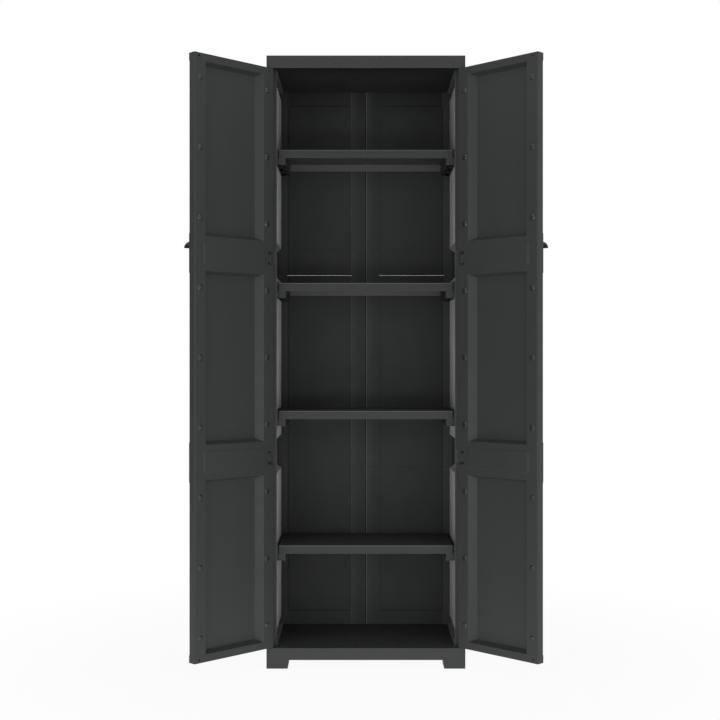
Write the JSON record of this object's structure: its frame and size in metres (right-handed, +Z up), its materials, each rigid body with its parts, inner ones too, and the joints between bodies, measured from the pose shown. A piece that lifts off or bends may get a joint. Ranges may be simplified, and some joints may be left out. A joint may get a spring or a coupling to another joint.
{
  "type": "plastic storage cabinet",
  "caption": "Tall dark plastic storage cabinet with hinged panelled doors, lift-out shelves on runners, a flat roof and moulded feet.",
  "frame": {"origin": "on the floor, in the middle of the outline with the doors open as stored", "axes": "+Z up, +X to the cabinet's right seen from the front, +Y to the cabinet's back"},
  "size_m": [1.0486, 0.5759, 1.8485],
  "materials": {
    "moulded_plastic": "fine-grained satin anthracite, injection moulded",
    "pins": "smooth dark moulded pins"
  },
  "bodies": {
    "carcass": {"back_joint_strip": "moulded_plastic", "back_panel_left": "moulded_plastic", "back_panel_right": "moulded_plastic", "base": "moulded_plastic", "ceiling_panel": "moulded_plastic", "pivot_pin_bottom_left": "pins", "pivot_pin_bottom_right": "pins", "pivot_pin_top_left": "pins", "pivot_pin_top_right": "pins", "roof": "moulded_plastic", "shelf_1": "moulded_plastic", "shelf_1_runner_left": "moulded_plastic", "shelf_1_runner_right": "moulded_plastic", "shelf_2": "moulded_plastic", "shelf_2_runner_left": "moulded_plastic", "shelf_2_runner_right": "moulded_plastic", "shelf_3": "moulded_plastic", "shelf_3_runner_left": "moulded_plastic", "shelf_3_runner_right": "moulded_plastic", "shelf_4": "moulded_plastic", "shelf_4_runner_left": "moulded_plastic", "shelf_4_runner_right": "moulded_plastic", "side_panel_left": "moulded_plastic", "side_panel_right": "moulded_plastic"},
    "left_door": {"door_clips_left": "moulded_plastic", "door_handle_left": "moulded_plastic", "door_inner_left": "moulded_plastic", "door_outer_left": "moulded_plastic", "hinge_pin_lower_left": "pins", "hinge_pin_upper_left": "pins"},
    "right_door": {"door_clips_right": "moulded_plastic", "door_handle_right": "moulded_plastic", "door_inner_right": "moulded_plastic", "door_outer_right": "moulded_plastic", "hinge_pin_lower_right": "pins", "hinge_pin_upper_right": "pins"}
  },
  "joints": [
    {"name": "right_door_hinge", "type": "hinge", "parent": "carcass", "child": "right_door", "pos_m": [0.292, -0.07352, 0], "axis": [0, 0, 1], "range_deg": [-135, 45]},
    {"name": "left_door_hinge", "type": "hinge", "parent": "carcass", "child": "left_door", "pos_m": [-0.292, -0.07352, 0], "axis": [0, 0, -1], "range_deg": [-135, 45]}
  ]
}
